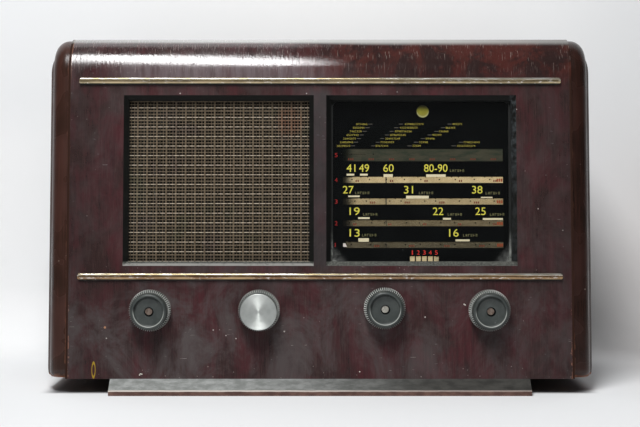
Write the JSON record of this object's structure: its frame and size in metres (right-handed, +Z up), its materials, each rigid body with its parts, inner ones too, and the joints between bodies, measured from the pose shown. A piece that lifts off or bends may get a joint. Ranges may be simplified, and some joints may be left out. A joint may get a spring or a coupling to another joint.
{
  "type": "valve table radio",
  "caption": "Wooden table radio with a bent veneered front and roof, cloth-covered speaker, glazed dial with moving pointer and turning knobs.",
  "frame": {"origin": "centre of the footprint, on the table", "axes": "+X to the right as seen from the front, front faces -Y, +Z up"},
  "size_m": [0.52, 0.2478, 0.336],
  "materials": {
    "veneer": "glossy lacquer over dark red-brown veneer, crazed and scratched",
    "cheek_wood": "glossy dark brown lacquer, worn at the edges",
    "raw_wood": "plain unfinished softwood and plywood",
    "plinth_paint": "red-brown stained rail, dusty on its slope",
    "trim_brass": "reeded strip, worn pale in patches",
    "cloth": "open grille weave, grey-beige over dark",
    "baffle_black": "board stained dark",
    "card": "pressed card",
    "cone_paper": "dark pressed paper",
    "grey_paint": "grey hammered paint",
    "steel": "bare steel, slightly dull",
    "surround_black": "dark satin paint",
    "clear_glass": "clear flat glass, dusty in the lower corners",
    "scale_black": "black print with clear strips and windows",
    "cream_paint": "cream reflector paint, aged",
    "lamp_glass": "clear lamp glass",
    "brass": "plain turned brass",
    "pointer_dark": "dark painted pointer",
    "cord": "thin braided cord",
    "aluminium": "plain aluminium",
    "spun_aluminium": "spun face with a bow-tie sheen",
    "eye_glass": "green-grey coated glass",
    "flag_red": "red painted strip",
    "bakelite": "dark grey-green bakelite, worn satin",
    "board_brown": "resin bonded paper board",
    "chassis_grey": "plated sheet steel, dull",
    "rubber": "black rubber",
    "winding": "dark laminations and varnished winding",
    "valve_black": "dark moulded base",
    "bulb_glass": "smoky valve glass",
    "cover_board": "pressed fibre board"
  },
  "bodies": {
    "cabinet": {"front_roof_shell": "veneer", "left_cheek": "cheek_wood", "right_cheek": "cheek_wood", "floor_board": "raw_wood", "front_plinth": "plinth_paint", "rear_plinth": "plinth_paint", "battens": "raw_wood", "upper_trim": "trim_brass", "lower_trim": "trim_brass", "baffle_board": "baffle_black", "speaker_cloth": "cloth", "cone_edge": "card", "speaker_basket": "grey_paint", "speaker_magnet": "grey_paint", "speaker_bolts": "steel", "dial_surround": "surround_black", "dial_glass": "clear_glass", "dial_scale": "scale_black", "glass_clips": "steel", "dial_backplate": "cream_paint", "pilot_lamps": "lamp_glass", "lamp_holders": "brass", "pointer_rail": "steel", "drive_cord": "cord", "eye_valve": "eye_glass", "spindle_bush": "brass", "gang_frame": "steel", "gang_stators": "aluminium", "control_pots": "steel", "switch_frame": "board_brown", "chassis_tray": "chassis_grey", "chassis_bolts": "steel", "rubber_grommets": "rubber", "mains_transformer": "winding", "output_transformer": "winding", "smoothing_can": "aluminium", "coil_cans": "aluminium", "valve_sockets": "board_brown", "valve_bases": "valve_black", "valve_bulbs": "bulb_glass", "terminal_panel": "board_brown", "terminal_sockets": "brass", "mains_gland": "rubber", "rear_cover": "cover_board"},
    "volume_control": {"volume_knob": "bakelite", "volume_shaft": "steel"},
    "tone_control": {"tone_knob": "bakelite", "tone_disc": "spun_aluminium", "tone_shaft": "steel"},
    "band_control": {"band_knob": "bakelite", "band_shaft": "steel"},
    "band_flag": {"band_flag": "flag_red"},
    "tuning_control": {"tuning_knob": "bakelite", "tuning_spindle": "steel"},
    "tuning_gang": {"cord_drum": "aluminium", "gang_rotor": "aluminium"},
    "pointer": {"pointer": "pointer_dark"},
    "left_pulley": {"left_pulley": "brass"},
    "right_pulley": {"right_pulley": "brass"},
    "speaker_cone": {"speaker_cone": "cone_paper"}
  },
  "joints": [
    {"name": "volume_turn", "type": "hinge", "parent": "cabinet", "child": "volume_control", "pos_m": [-0.159, -0.1, 0.0785], "axis": [0, 1, 0], "range_deg": [0, 300]},
    {"name": "tone_turn", "type": "hinge", "parent": "cabinet", "child": "tone_control", "pos_m": [-0.057, -0.1, 0.0785], "axis": [0, 1, 0], "range_deg": [-150, 150]},
    {"name": "band_turn", "type": "hinge", "parent": "cabinet", "child": "band_control", "pos_m": [0.0605, -0.1, 0.0805], "axis": [0, 1, 0], "range_deg": [-120, 0]},
    {"name": "gang_turn", "type": "hinge", "parent": "cabinet", "child": "tuning_gang", "pos_m": [0.09605, -0.03, 0.138], "axis": [0, 1, 0], "range_deg": [-48, 132]},
    {"name": "tuning_turn", "type": "hinge", "parent": "cabinet", "child": "tuning_control", "pos_m": [0.1586, -0.1, 0.0785], "axis": [0, 1, 0], "range_deg": [-578, 1586]},
    {"name": "pointer_slide", "type": "slide", "parent": "cabinet", "child": "pointer", "axis": [1, 0, 0], "range_m": [-0.04041, 0.11078]},
    {"name": "left_pulley_spin", "type": "hinge", "parent": "cabinet", "child": "left_pulley", "pos_m": [-0.00095, -0.04663, 0.2344], "axis": [0, 1, 0], "range_deg": [-290, 794]},
    {"name": "right_pulley_spin", "type": "hinge", "parent": "cabinet", "child": "right_pulley", "pos_m": [0.19785, -0.04663, 0.2344], "axis": [0, 1, 0], "range_deg": [-290, 794]},
    {"name": "band_flag_slide", "type": "slide", "parent": "cabinet", "child": "band_flag", "axis": [1, 0, 0], "range_m": [-0.0229, 0]},
    {"name": "cone_travel", "type": "slide", "parent": "cabinet", "child": "speaker_cone", "axis": [0, 0.9945, -0.1045], "range_m": [-0.001, 0.001], "stiffness_N_per_m": 1000}
  ],
  "couplings": [
    {"joint": "tuning_turn", "follows": "gang_turn", "ratio": 12},
    {"joint": "pointer_slide", "follows": "gang_turn", "m_per_rad": 0.048},
    {"joint": "left_pulley_spin", "follows": "gang_turn", "ratio": 6},
    {"joint": "right_pulley_spin", "follows": "gang_turn", "ratio": 6},
    {"joint": "band_flag_slide", "follows": "band_turn", "m_per_rad": 0.010886}
  ]
}
